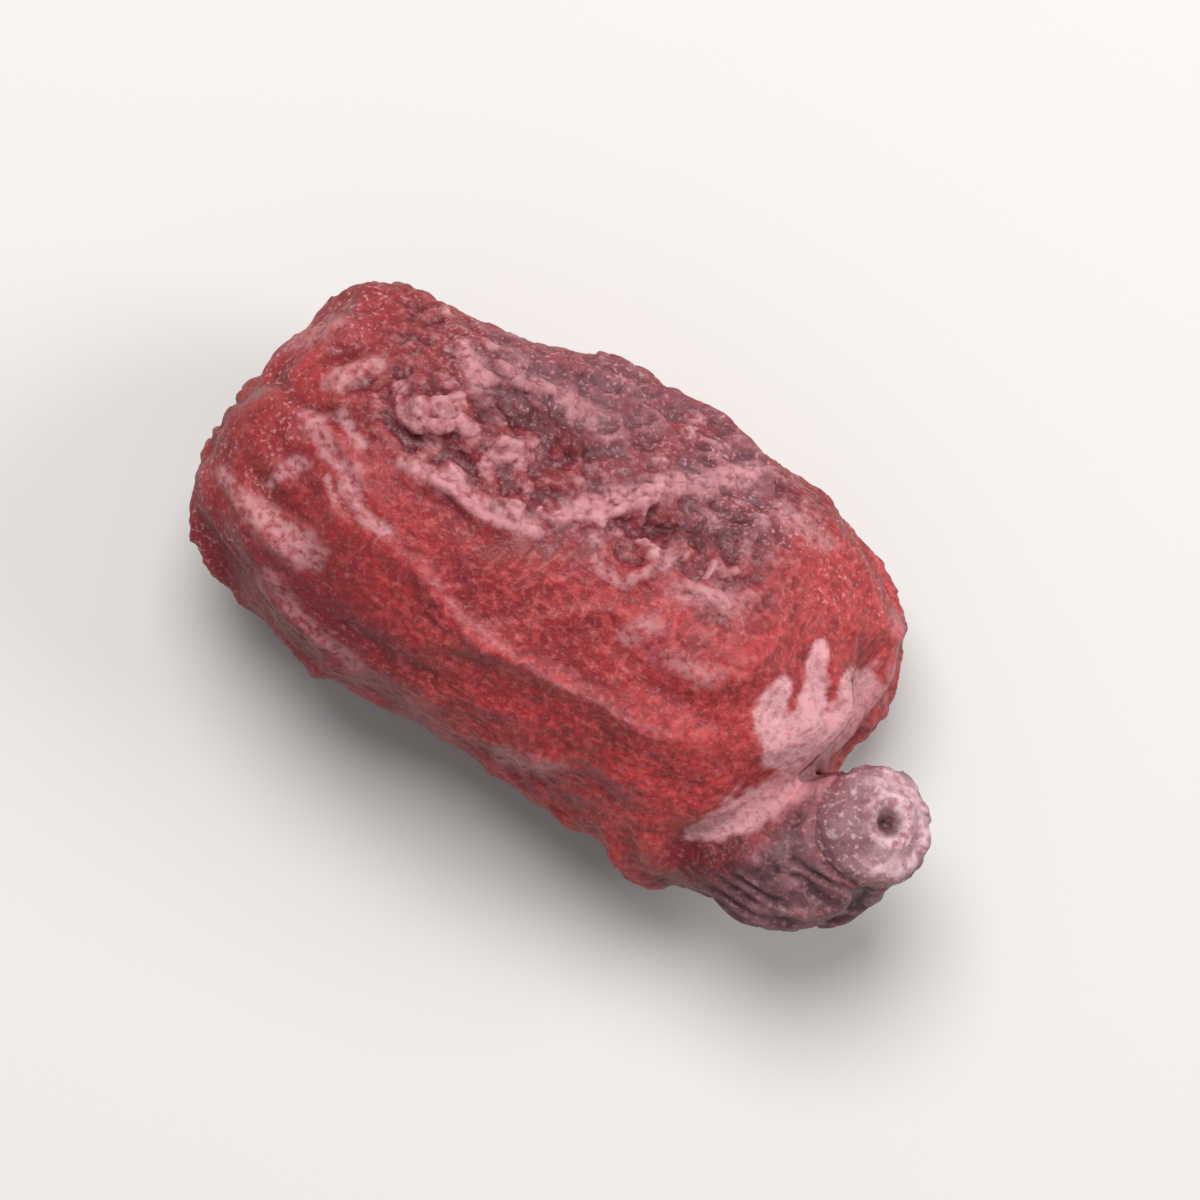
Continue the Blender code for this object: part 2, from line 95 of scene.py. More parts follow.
def spread(values, rounds, weights=None):
    """Values after being averaged with their neighbours' a number of times."""
    weights = np.ones(len(one_end)) if weights is None else weights
    total = np.bincount(one_end, weights, count) + np.bincount(other_end, weights, count)
    values = np.array(values, float)
    columns = values.reshape(count, -1)
    for _ in range(rounds):
        for c in range(columns.shape[1]):
            column = columns[:, c]
            gathered = np.bincount(one_end, weights * column[other_end], count)
            gathered += np.bincount(other_end, weights * column[one_end], count)
            columns[:, c] = (column + gathered / total) / 2
    return columns.reshape(values.shape)


print("edges:", len(one_end))

# %% [markdown]
# The remesh follows the solid's flat triangles, so the first use of it is to soften them. About a third
# of the finest detail is put back after it, so that the small ridges don't melt away with the facets.

# %% Soften the facets
SOFTENING_ROUNDS = 5
DETAIL_ROUNDS = 2
KEPT_DETAIL = 0.3


def read_points():
    co = np.zeros(count * 3)
    skin_mesh.vertices.foreach_get("co", co)
    return co.reshape(-1, 3)


def write_points(points):
    skin_mesh.vertices.foreach_set("co", points.ravel())
    skin_mesh.update()


def read_normals():
    co = np.zeros(count * 3)
    skin_mesh.vertices.foreach_get("normal", co)
    return co.reshape(-1, 3)


def smooth_step(low, high, values):
    """0 at low and 1 at high, with an even curve between them."""
    share = np.clip((values - low) / (high - low), 0, 1)
    return share * share * (3 - 2 * share)


solid_points = read_points()
softened = spread(solid_points, SOFTENING_ROUNDS)
fine_detail = solid_points - spread(solid_points, DETAIL_ROUNDS)
write_points(softened + fine_detail * KEPT_DETAIL)
moved = np.linalg.norm(read_points() - solid_points, axis=1)
print("softened by up to, mm:", round(float(moved.max()), 3))

# %% [markdown]
# ## Crisper folds
# Remeshing and softening blunt the folds. The difference between the surface and a more softened copy
# of it says where the ridges and valleys are, so adding part of that difference back makes both
# crisper, without moving the fruit's outline. The wrinkled half, on the +Y side, gets more of it.
# Places on the fruit are given in a drawing's own millimetres, x along the fruit, y across it and z
# up from its middle. The two values below say how that drawing lies on the solid.

# %% Sharpen what is there
DRAWING_SCALE = 1.0024
DRAWING_CENTRE = np.array([0.486, 0.194, -1.926])
SHARPENING_ROUNDS = 14
MOST_LIFT = 0.03

points, normals = read_points(), read_normals()
lift = np.einsum("ij,ij->i", points - spread(points, SHARPENING_ROUNDS), normals)
lift = np.clip(lift, -MOST_LIFT, MOST_LIFT)
drawn_y = points[:, 1] / DRAWING_SCALE + DRAWING_CENTRE[1]
crispness = 0.35 + 0.85 * smooth_step(0.0, 0.5, drawn_y)
write_points(points + normals * (lift * crispness)[:, None])
print("sharpened by up to, mm:", round(float(np.abs(lift * crispness).max()), 3))

# %% [markdown]
# ## Where the skin is wrinkled
# The fruit isn't wrinkled evenly. One long flank of its upper side is crowded with worm-like wrinkles,
# the middle is almost taut, and both ends have folds that are drawn towards the scar and the knob.
# Ruled borders between such zones would look painted on, so each border wanders with a smooth noise.

# %% Positions and a wandering noise
points, normals = read_points(), read_normals()
drawn = points / DRAWING_SCALE + DRAWING_CENTRE
x, y, z = drawn.T
top = smooth_step(0.0, 0.55, normals[:, 2])


def cloud(size, seed):
    """Smooth random values, -1 to 1, in lumps of about the given size in millimetres."""
    offset = Vector((seed * 7.3, seed * 3.1, seed * 5.7))
    return np.array([noise.noise(Vector(p) / size + offset) for p in drawn])


print("drawn length, mm:", round(float(x.max() - x.min()), 2))

# %% [markdown]
# The knob has to be told from the fruit, because its skin is another: a greyish neck that curves up
# from the fruit's end, and a pale disc at its tip, where the stigma was. Distance out along the neck
# finds the first, and height over the disc's face and distance from its middle find the second.

# %% The knob and its disc
NECK_ROOT = np.array([3.22, -1.00, -0.05])
NECK_LEAVING = np.array([1.0, -0.33, 0.32]) / math.hypot(1.0, 0.33, 0.32)
DISC_CENTRE = np.array([4.36, -0.09, 1.08])
DISC_DIRECTION = np.array([0.24, 0.42, 0.87]) / math.hypot(0.24, 0.42, 0.87)

out_along_neck = (drawn - NECK_ROOT) @ NECK_LEAVING
knob = smooth_step(0.0, 0.65, out_along_neck + 0.25 * cloud(0.5, 18))
disc_height = (drawn - DISC_CENTRE) @ DISC_DIRECTION
disc_radius = np.linalg.norm(drawn - DISC_CENTRE - disc_height[:, None] * DISC_DIRECTION, axis=1)
disc = knob * smooth_step(-0.52, -0.22, disc_height) * smooth_step(1.00, 0.78, disc_radius)
print("share knob:", round(float(knob.mean()), 3), "share disc:", round(float(disc.mean()), 3))

# %% [markdown]
# The zones are marked with shares from 0 to 1: the wormy flank, the part of it where the folds slant,
# the patches on the sides where worms show again, and the taut skin, which is the rest of the top.

# %% The wrinkled, slanted and taut zones
lower_flank = smooth_step(0.4, -0.1, normals[:, 2])
border = 0.20 + 0.45 * smooth_step(-0.6, 0.7, x) - 0.35 * smooth_step(1.0, 2.4, x)
wormy = smooth_step(border - 0.30, border + 0.35, y + 0.20 * cloud(1.0, 1))
wormy *= smooth_step(2.5, 1.3, x) * smooth_step(-3.5, -2.4, x + 0.2 * cloud(0.8, 13)) * top
slanted = wormy * smooth_step(-0.4, 0.7, x + 0.3 * cloud(0.8, 16))
patchy = smooth_step(-0.10, 0.25, cloud(1.7, 2)) * lower_flank
taut = top * (1 - wormy)
print("share wormy:", round(float(wormy.mean()), 2), "share taut:", round(float(taut.mean()), 2))

# %% [markdown]
# ## Growing the wrinkles
# Wrinkles of one even spacing, which run, fork and end like worms, can't be had from plain noise. They
# form by themselves when a random field is repeatedly sharpened at one spacing: blurred a little,
# blurred more, the two subtracted, and the result pushed towards plus or minus one. That is close to
# how the real skin buckles, whose stiffness also picks one spacing. How far a blur reaches depends on
# the cells, so its rounds are scaled from the cells that they were first chosen on.

# %% A field of wrinkles
FIRST_CELL = 0.038
rounds_scale = (FIRST_CELL / CELL) ** 2
PUSH = 2.2
chance = np.random.default_rng(11)


def wrinkles(near, far, repeats, weights=None, lowered=0.0):
    """Ridges (+1) and valleys (-1), spaced by the two blurs; when lowered, the ridges are islands."""
    near = max(1, round(near * rounds_scale))
    far = max(3, round(far * rounds_scale))
    field = spread(chance.standard_normal(count), 1)
    for _ in range(repeats):
        blurred = spread(field, near, weights)
        band = blurred - spread(blurred, far - near, weights)
        field = np.tanh(PUSH * (band / band.std() - lowered))
    return spread(field, 1)


print("rounds are scaled by:", round(rounds_scale, 2))

# %% [markdown]
# An edge that counts for more lets the blur run further along it, so the wrinkles turn that way. The
# sides get folds along the fruit, and the far end of the wrinkled flank gets slanting ones.

# %% Five kinds of wrinkle
way = points[other_end] - points[one_end]
way_squared = np.maximum((way**2).sum(axis=1), 1e-12)
lengthwise = way[:, 0] ** 2 / way_squared
diagonal = (way @ np.array([0.68, 0.73, 0.0])) ** 2 / way_squared

worms = wrinkles(8, 44, 12, lowered=0.28)
slant_folds = wrinkles(12, 84, 10, 0.05 + diagonal**2)
small_worms = wrinkles(4, 18, 10, lowered=0.20)
long_folds = wrinkles(10, 60, 10, 0.16 + lengthwise)
fine_creases = wrinkles(2, 8, 8, 0.35 + lengthwise)
print("share of worm ridges:", round(float((worms > 0).mean()), 2))

# %% [markdown]
# The fields are laid on with different strengths: worms and slanting folds on the wrinkled flank,
# lengthwise folds on the sides and the underside, and a trace of fine creases everywhere but on the
# knob. A ridge is round and a valley narrow, as skin that is pushed together always buckles outwards.

# %% Wrinkles of the fruit's skin, in millimetres
WORM_HEIGHT = 0.060
SLANT_HEIGHT = 0.058
SMALL_WORM_HEIGHT = 0.026
FOLD_HEIGHT = 0.036
CREASE_HEIGHT = 0.012

worm_ridge = smooth_step(-0.75, 0.90, worms)
slant_ridge = smooth_step(-0.8, 0.9, slant_folds)
small_ridge = smooth_step(-0.7, 0.9, small_worms)
fold_ridge = smooth_step(-0.8, 0.8, long_folds)
crease_ridge = smooth_step(-0.8, 0.8, fine_creases)

wrinkled = np.clip(wormy + 0.55 * patchy, 0, 1)
worm_share = (wrinkled - 0.85 * slanted) * (0.45 + 0.55 * smooth_step(-0.28, 0.18, cloud(0.85, 10)))
small_share = 0.28 + 0.72 * wrinkled * smooth_step(-0.25, 0.3, cloud(0.7, 11))
fold_share = np.clip(lower_flank * (1 - 0.6 * patchy) + 0.22 * taut, 0, 1)
fold_share = fold_share * smooth_step(-0.35, 0.2, cloud(1.4, 3))
crease_share = 0.35 + 0.65 * smooth_step(-0.1, 0.3, cloud(0.9, 4))

height = WORM_HEIGHT * (worm_ridge - 0.45) * worm_share
height += SLANT_HEIGHT * (slant_ridge - 0.45) * slanted
height += SMALL_WORM_HEIGHT * (small_ridge - 0.45) * small_share
height += FOLD_HEIGHT * (fold_ridge - 0.5) * fold_share
height += CREASE_HEIGHT * (crease_ridge - 0.5) * crease_share
height *= 1 - knob
print("wrinkles, mm:", round(float(height.min()), 3), "to", round(float(height.max()), 3))

# %% [markdown]
# The knob has a relief of its own. Its neck is folded along its length. Its disc has a raised ring
# round the pit, broken here and there, and a grain of small warts.

# %% Relief of the neck and the disc
NECK_HEIGHT = 0.040
RING_RADIUS = 0.28
GROOVE_RADIUS = 0.40
DISC_RING_HEIGHT = 0.050
DISC_GRAIN_HEIGHT = 0.036

height += knob * (1 - disc) * NECK_HEIGHT * (fold_ridge - 0.5)
ring = np.exp(-(((disc_radius - RING_RADIUS) / 0.06) ** 2))
groove = np.exp(-(((disc_radius - GROOVE_RADIUS) / 0.05) ** 2))
rings = (0.6 + 0.9 * cloud(0.35, 17)) * (ring - 0.8 * groove)
rings += 0.8 * smooth_step(0.14, 0.02, disc_radius)
height += disc * DISC_RING_HEIGHT * rings * smooth_step(-0.25, -0.05, disc_height)
height += disc * DISC_GRAIN_HEIGHT * (0.3 * small_ridge + 0.7 * worm_ridge - 0.5)
print("relief on the disc, mm:", round(float(np.ptp(height[disc > 0.5])), 3))

# %% [markdown]
# Around the stalk scar the skin was held while it shrank, so it is drawn into furrows that point at
# the scar, like the mouth of a tied bag. Beside the neck the skin has sunk into a small hollow.

# %% Relief at the scar and beside the neck
SCAR_CENTRE = np.array([-4.0, -0.34, 0.10])
SCAR_FURROW_COUNT = 11
SCAR_FURROW_HEIGHT = 0.028
DENT_CENTRE = np.array([3.30, -1.95, -0.10])
DENT_REACH = 0.45
DENT_DEPTH = 0.17

from_scar = drawn - SCAR_CENTRE
scar_distance = np.linalg.norm(from_scar, axis=1)
around_scar = np.arctan2(from_scar[:, 1], from_scar[:, 2])
furrows = np.sin(SCAR_FURROW_COUNT * around_scar + 3.0 * cloud(0.5, 25))
furrows *= smooth_step(0.15, 0.35, scar_distance) * smooth_step(0.75, 0.45, scar_distance)
height += SCAR_FURROW_HEIGHT * furrows
height -= DENT_DEPTH * np.exp(-((np.linalg.norm(drawn - DENT_CENTRE, axis=1) / DENT_REACH) ** 2))
print("all relief, mm:", round(float(height.min()), 3), "to", round(float(height.max()), 3))

# %% [markdown]
# The disc's sharp rim is rounded before its relief is laid on, and its face is domed by lowering it
# towards the rim. At the end nothing may reach below the surface that the fruit rests on.

# %% Press it all into the skin
DISC_ROUNDING_ROUNDS = 14
DISC_DOME = 0.17

rounded = 0.9 * disc[:, None]
rounder = spread(points, round(DISC_ROUNDING_ROUNDS * rounds_scale))
dressed = points * (1 - rounded) + rounder * rounded
dressed += normals * height[:, None]
dressed -= DISC_DIRECTION * (disc * DISC_DOME * smooth_step(0.22, 0.68, disc_radius))[:, None]
dressed[:, 2] = np.maximum(dressed[:, 2], 0.0)
write_points(dressed)
print("dressed height, mm:", round(float(np.ptp(dressed[:, 2])), 2))

# %% [markdown]
# ## Masks for the colours
# Colour follows form here: the sticky valleys are painted dark as shade, skin that faces down is painted
# in shade too, the taut skin is clear red, and the ridges are greyish pink, partly dry and scuffed and
# partly painted sheen. Each mask is stored on the mesh as a named attribute, which the material reads,
# so that the pattern stays fixed to the skin from every side. The first masks are measured: how far each
# point stands over the softened surface around it, and how far it faces up.

# %% Ridges and valleys
RIDGE_ROUNDS = 30

points, normals = read_points(), read_normals()
rounds = max(4, round(RIDGE_ROUNDS * rounds_scale))
rise = np.einsum("ij,ij->i", points - spread(points, rounds), normals)
broad_rise = np.einsum("ij,ij->i", points - spread(points, rounds * 6), normals)
# The valley masks mark where shade is painted into the creases, and the upward mask sets the painted
# shade on skin that faces down.
masks = {
    "ridge": smooth_step(0.004, 0.028, rise),
    "valley": smooth_step(0.002, -0.026, rise),
    "broad_valley": smooth_step(0.0, -0.09, broad_rise),
    "upward": smooth_step(-0.25, 0.75, normals[:, 2]),
    "wormy": np.clip(wormy + 0.5 * patchy, 0, 1),
}
print("share of ridges:", round(float(masks["ridge"].mean()), 2))

# %% [markdown]
# Other marks belong to this one fruit: pale strokes, partly where a ridge has dried right out and partly
# painted highlights on ridges that face the light, and pale skin that lies over its end like a torn
# flap. They are drawn as short paths in plan, each with a half width at its start and at its end. Noise
# added to the distance makes their edges ragged.

# %% Marks drawn as paths
plan = drawn[:, :2] + 0.05 * np.stack([cloud(0.5, 8), cloud(0.5, 9)], axis=1)


def drawn_distance(path, first_width, last_width):
    """Distance from a path drawn in plan on the upper side, as a share of its half width there."""
    lengths = [math.dist(a, b) for a, b in zip(path, path[1:])]
    nearest = np.full(count, 99.0)
    passed = 0.0
    for a, b, length in zip(path, path[1:], lengths):
        start = np.array(a)
        direction = (np.array(b) - start) / length
        along = np.clip((plan - start) @ direction, 0, length)
        width = first_width + (last_width - first_width) * (passed + along) / sum(lengths)
        away = np.linalg.norm(plan - start - along[:, None] * direction, axis=1)
        nearest = np.minimum(nearest, away / width)
        passed += length
    return np.where(top > 0, nearest, 99.0)


def patches(paths, soft, edge):
    """1 on the drawn paths, with edges that are this soft and ragged by the given field."""
    inside = np.zeros(count)
    for path, first_width, last_width in paths:
        far = drawn_distance(path, first_width, last_width) + edge
        inside = np.maximum(inside, smooth_step(1 + soft, 1 - soft, far))
    return inside * smooth_step(0.02, 0.3, top)


print("the plan wanders by up to, mm:", round(float(np.abs(plan - drawn[:, :2]).max()), 3))

# %% Dry strokes and painted highlights
dry_and_highlight_bands = [
    ([(-3.08, 0.07), (-2.79, -0.02), (-2.48, -0.06)], 0.12, 0.10),
    ([(-2.87, 0.33), (-2.49, 0.20)], 0.07, 0.05),
    ([(-2.42, -0.22), (-2.08, -0.46), (-1.78, -0.40)], 0.12, 0.05),
    ([(-2.62, -0.30), (-2.38, -0.46)], 0.05, 0.05),
    ([(-3.14, -0.68), (-2.95, -0.32)], 0.05, 0.08),
    ([(-3.66, -0.86), (-3.05, -1.08), (-2.42, -1.06)], 0.07, 0.19),
    ([(-1.99, 0.32), (-1.42, 0.39), (-1.02, 0.31), (-0.60, 0.42)], 0.09, 0.13),
    ([(-0.34, 0.78), (0.33, 1.50), (0.70, 1.84), (1.12, 2.24)], 0.12, 0.12),
    ([(0.08, 0.75), (0.32, 0.46), (0.62, 0.44), (0.78, 0.74), (0.90, 1.00)], 0.06, 0.05),
    ([(-1.26, 0.92), (-1.01, 1.06)], 0.15, 0.12),
    ([(-2.26, 0.83), (-1.92, 0.62)], 0.11, 0.09),
    ([(-2.02, 1.02), (-1.72, 0.94)], 0.10, 0.08),
    ([(-2.16, 1.64), (-1.80, 1.46)], 0.12, 0.10),
    ([(-3.12, 0.60), (-2.90, 1.00)], 0.10, 0.10),
    ([(-0.40, 0.72), (-0.12, 0.92)], 0.07, 0.06),
]
ragged = 0.75 * cloud(0.16, 14) + 0.5 * cloud(0.4, 15)
# The pale strokes are partly dry skin and partly painted highlights.
dry_and_highlight = patches(dry_and_highlight_bands, 0.60, 0.65 * ragged)
print("share dry:", round(float(dry_and_highlight.mean()), 3))

# %% Fainter smears and the thin ridge, partly painted highlights, and painted shade in hollows
dry_and_highlight_smears = [
    ([(-3.74, 0.78), (-3.48, 1.16)], 0.12, 0.10),
    ([(-1.74, 1.70), (-1.15, 1.80), (-0.60, 1.74)], 0.07, 0.11),
    ([(1.65, 2.04), (2.20, 2.02)], 0.13, 0.10),
    ([(1.24, 0.76), (1.72, 0.95)], 0.16, 0.13),
    ([(0.95, 0.12), (1.15, 0.28)], 0.12, 0.10),
    ([(1.35, 0.00), (1.95, 0.16)], 0.09, 0.12),
    ([(3.24, 1.78), (3.52, 1.42), (3.68, 0.90)], 0.07, 0.06),
    ([(-2.60, -1.52), (-1.90, -1.76), (-1.30, -1.84)], 0.11, 0.07),
    ([(0.50, -1.80), (0.85, -1.66), (1.10, -1.52)], 0.10, 0.06),
]
# These hollows are painted dark as shade.
shaded_hollows = [
    ([(-1.62, 1.24), (-1.25, 1.38), (-0.95, 1.54), (-0.50, 1.44)], 0.11, 0.18),
    ([(0.55, 1.12), (1.05, 1.35), (1.35, 1.72)], 0.08, 0.12),
]
long_ridge = [(-1.2, -0.56), (-0.6, -0.75), (0.4, -0.79), (1.4, -0.70), (1.9, -0.60)]

dry_and_highlight = np.maximum(dry_and_highlight, 0.7 * patches(dry_and_highlight_smears, 0.85, ragged))
# A pale line along the thin ridge's crest, partly painted highlight, joins the strokes.
thin_ridge = np.exp(-(drawn_distance(long_ridge, 0.040, 0.020) ** 2)) * top
masks["dry_and_highlight"] = np.clip(dry_and_highlight + 0.5 * thin_ridge, 0, 1)
masks["hollow"] = patches(shaded_hollows, 0.8, 0.9 * ragged)
print("share dry, with smears:", round(float(masks["dry_and_highlight"].mean()), 3))

# %% The pale flap over the knob end
flap_paths = [
    ([(2.72, 1.06), (2.92, 0.62), (3.15, 0.15), (3.30, -0.12)], 0.07, 0.30),
    ([(3.38, 0.98), (3.46, 0.50), (3.45, -0.05)], 0.24, 0.38),
    ([(2.62, 0.48), (2.66, 0.15), (2.92, -0.08), (3.40, -0.15)], 0.13, 0.22),
]
flap_tongue = [
    ([(2.66, -1.36), (2.88, -1.02)], 0.08, 0.22),
    ([(2.88, -1.02), (3.12, -0.66), (3.35, -0.34)], 0.22, 0.20),
]
flap_edge = 0.42 * cloud(0.30, 5) + 0.36 * cloud(0.11, 12)
flap = patches(flap_paths, 0.22, flap_edge)
flap = np.maximum(flap, 0.78 * patches(flap_tongue, 0.28, 1.2 * flap_edge))
masks["flaps"] = flap * (1 - 0.9 * knob) * smooth_step(-0.5, 0.6, z)
print("share flap:", round(float(masks["flaps"].mean()), 3))

# %% [markdown]
# Between the marks the red changes. It is painted lighter towards both ends, as the light that falls
# there, most on the side away from the wrinkled flank. It is darker in the middle. It is painted in
# shade at one corner of the stalk end, towards the stalk, and on the flank away from the wrinkles near
# the stalk. It is greyed along the far upper edge, and dusty there and at the stalk. The skin in the
# fold beside the neck is painted darkest of all, as the shade in that fold.

# %% Painted light, painted shade, darker and greyed zones
FOLD_BY_NECK = (3.12, -1.52)

lit_ends = (0.7 + 0.4 * smooth_step(0.2, -0.8, y)) * smooth_step(1.2, 2.2, x)
lit_ends += 0.6 * smooth_step(-2.6, -3.3, x) * smooth_step(1.2, 0.5, y)
dull_and_shaded = np.exp(-(((x - 0.1) / 1.4) ** 2) - ((y + 0.15) / 0.55) ** 2) * (0.7 + 0.9 * cloud(0.6, 23))
dull_and_shaded = np.maximum(dull_and_shaded, 0.7 * smooth_step(-2.2, -3.2, x) * smooth_step(0.7, 1.4, y))
greyed = smooth_step(1.15, 1.75, y) * smooth_step(-2.5, -1.7, x) * smooth_step(2.1, 1.1, x)
dusty = smooth_step(0.9, 1.9, y) + smooth_step(-2.6, -3.6, x)
from_fold = np.hypot(x - FOLD_BY_NECK[0], y - FOLD_BY_NECK[1])

masks["lit_ends"] = np.clip(lit_ends * taut, 0, 1)
masks["dull_and_shaded"] = np.clip(dull_and_shaded * taut, 0, 1)
masks["greyed"] = np.clip(greyed * top * (0.8 + 0.9 * cloud(0.5, 20)), 0, 1)
masks["dusty"] = np.clip(dusty * (0.55 + 0.9 * cloud(0.45, 27)), 0, 1)
masks["shaded_stalk_half"] = smooth_step(-0.8, -2.8, x + 0.4 * cloud(1.1, 19))
masks["shaded_lower_left"] = smooth_step(-0.9, -1.5, y) * smooth_step(-0.5, -1.8, x)
masks["fold_by_neck"] = smooth_step(0.85, 0.35, from_fold + 0.25 * cloud(0.3, 24))
print("share fresh:", round(float(masks["lit_ends"].mean()), 3))

# %% [markdown]
# The last masks belong to the knob and the scar. The side of the disc on the left of the picture is
# painted greyer, as shade, so that mask follows the picture's own direction, which is turned 33 degrees.
# The pit's mask marks where the disc is painted dark as shade.

# %% Masks of the knob and the scar
ROLL = math.radians(33)
PICTURE_RIGHT = np.array([math.cos(ROLL), math.sin(ROLL), 0.0])

disc_side = (drawn - DISC_CENTRE) @ PICTURE_RIGHT + 0.15 * cloud(0.25, 28)
masks["neck"] = knob * (1 - disc) * smooth_step(-0.1, 0.3, knob)
masks["disc"] = disc
masks["disc_face"] = disc * smooth_step(-0.20, -0.04, disc_height) * smooth_step(0.70, 0.50, disc_radius)
masks["disc_shade"] = disc * smooth_step(0.05, -0.40, disc_side)
masks["pit"] = disc * smooth_step(0.22, 0.12, disc_radius) * smooth_step(0.0, -0.08, disc_height)
scar = smooth_step(0.60, 0.36, scar_distance + 0.22 * cloud(0.35, 6))
masks["scar"] = scar * (0.75 + 0.5 * cloud(0.2, 21))
print({name: round(float(values.mean()), 3) for name, values in masks.items()})

# %% [markdown]
# The wrinkled mesh goes back from millimetres to metres and becomes the piece itself, at the origin,
# unturned and unscaled, with every mask stored on its vertices.

# %% The finished skin
finished = bmesh.new()
finished.from_mesh(skin_mesh)
bmesh.ops.scale(finished, vec=(0.001, 0.001, 0.001), verts=finished.verts)
berry_mesh = bpy.data.meshes.new("berry_skin")
finished.to_mesh(berry_mesh)
finished.free()
berry_mesh.shade_smooth()
for name, values in masks.items():
    attribute = berry_mesh.attributes.new(name, "FLOAT", "POINT")
    attribute.data.foreach_set("value", values.astype(np.float32))
berry_skin = bpy.data.objects.new("berry_skin", berry_mesh)
bpy.context.scene.collection.objects.link(berry_skin)
print("triangles:", sum(len(p.vertices) - 2 for p in berry_mesh.polygons))

# %% [markdown]
# ## The dried skin
# Dried barberry skin is a thin translucent membrane over dark sticky pulp. Light goes a fraction of a
# millimetre into it and comes back red, so the shader scatters under the surface. Its gloss is that of
# leather: satin where the skin is taut, dull on the scuffed ridges. One material covers the skin, the
# knob and the scar, mixed by the masks, because on the fruit they run into each other with no seam.

# %% Colours and nodes
def linear(hex_colour):
    """An sRGB hex colour as the linear RGBA that the shader wants."""
    parts = [int(hex_colour[i : i + 2], 16) / 255 for i in (1, 3, 5)]
    return [c / 12.92 if c <= 0.04045 else ((c + 0.055) / 1.055) ** 2.4 for c in parts] + [1.0]


dried_skin = bpy.data.materials.new("dried_barberry_skin")
dried_skin.use_nodes = True
tree = dried_skin.node_tree
shader = tree.nodes["Principled BSDF"]


def add(kind, inputs, **settings):
    """One more node with its settings; each input is given a value or another node's socket."""
    node = tree.nodes.new(kind)
    for name, value in settings.items():
        setattr(node, name, value)
    for key, value in inputs.items():
        if isinstance(value, bpy.types.NodeSocket):
            tree.links.new(value, node.inputs[key])
        else:
            node.inputs[key].default_value = value
    return node


place = add("ShaderNodeTexCoord", {}).outputs["Object"]
print("nodes to start with:", len(tree.nodes))

# %% [markdown]
# Three things are needed again and again: blotches of a real size, the strength of a stored mask, and
# one colour painted over another. Each takes a few nodes, so each has a function that is named for
# what it does to the skin.

# %% Blotches, masks and layers of paint
MULTIPLY = {"operation": "MULTIPLY", "use_clamp": True}


def blotches(size_mm, low, high, least=0.0, most=1.0, detail=3.0, roughness=0.5):
    """Soft blotches of about this size in millimetres, from least to most in strength."""
    scale = 1 / (size_mm * 0.001)
    lumps = {"Vector": place, "Scale": scale, "Detail": detail, "Roughness": roughness}
    uneven = add("ShaderNodeTexNoise", lumps).outputs["Fac"]
    edges = {"Value": uneven, "From Min": low, "From Max": high, "To Min": least, "To Max": most}
    return add("ShaderNodeMapRange", edges, interpolation_type="SMOOTHSTEP").outputs["Result"]


def marked(name, outside=0.0, inside=1.0):
    """A stored mask, or a strength that goes from one value outside it to another inside."""
    stored = add("ShaderNodeAttribute", {}, attribute_name=name).outputs["Fac"]
    if (outside, inside) == (0.0, 1.0):
        return stored
    edges = {"Value": stored, "From Min": 0.0, "From Max": 1.0, "To Min": outside, "To Max": inside}
    return add("ShaderNodeMapRange", edges, interpolation_type="SMOOTHSTEP").outputs["Result"]


def painted(under, over, *strengths):
    """One colour painted over another, as strongly as the strengths multiplied."""
    strength = strengths[0]
    for further in strengths[1:]:
        strength = add("ShaderNodeMath", {0: strength, 1: further}, **MULTIPLY).outputs[0]
    return add("ShaderNodeMix", {"Factor": strength, 6: under, 7: over}, data_type="RGBA").outputs[2]


# %% [markdown]
# The colour is built up in layers, as a painter would: a clear red, the zones where it is painted
# lighter as light, darker in the middle or painted darker as shade, and then blotches and specks,
# because pigment gathers unevenly as the juice dries in.

# %% Red of the taut skin
CLEAR_RED = linear("#AD3538")
DEEP_AND_SHADE_RED = linear("#83282B")
LIT_END_RED = linear("#BD4040")
BLOTCH_AND_SHADE_RED = linear("#76222A")
FOLD_SHADE_RED = linear("#4E181D")
DARK_SPECK = linear("#7A2629")
LIGHT_SPECK = linear("#C75553")

colour = painted(CLEAR_RED, DEEP_AND_SHADE_RED, blotches(0.9, 0.42, 0.68))
# Painted light: the ends are made lighter. Painted shade: a corner of the stalk end, within the dull
# mask, and the fold by the neck are made darker. The middle is simply darker.
colour = painted(colour, LIT_END_RED, marked("lit_ends"), 0.8)
colour = painted(colour, BLOTCH_AND_SHADE_RED, marked("dull_and_shaded"), 0.75)
colour = painted(colour, FOLD_SHADE_RED, marked("fold_by_neck"), 0.95)
colour = painted(colour, BLOTCH_AND_SHADE_RED, blotches(0.34, 0.50, 0.62, detail=4.0, roughness=0.6), 0.50)
colour = painted(colour, DARK_SPECK, blotches(0.075, 0.36, 0.64, detail=2.0), 0.62)
fewer_in_fold = marked("fold_by_neck", 0.48, 0.1)
colour = painted(colour, LIGHT_SPECK, blotches(0.10, 0.48, 0.64), fewer_in_fold)
print("nodes with the red:", len(tree.nodes))

# %% [markdown]
# Wrinkled skin is given a darker red. Its broad and narrow valleys are painted darker as shade, and so
# is skin that faces down. Its ridges are painted paler, partly because they have rubbed dry and partly
# as painted sheen, and that pink is broken up by two sizes of blotch, as rubbing never is even.

# %% Wrinkles, valleys and ridges
WORMY_RED = linear("#7C3034")
UNDERSIDE_SHADE_RED = linear("#6A1F23")
VALLEY_SHADE_RED = linear("#47171B")
FURROW_SHADE_RED = linear("#5A1F26")
RIDGE_PINK_AND_SHEEN = linear("#CE9A9E")

# Painted shade: the broad valleys are darkened with the deep red.
colour = painted(colour, DEEP_AND_SHADE_RED, marked("broad_valley"), 0.75)
colour = painted(colour, WORMY_RED, marked("wormy"), 0.80)
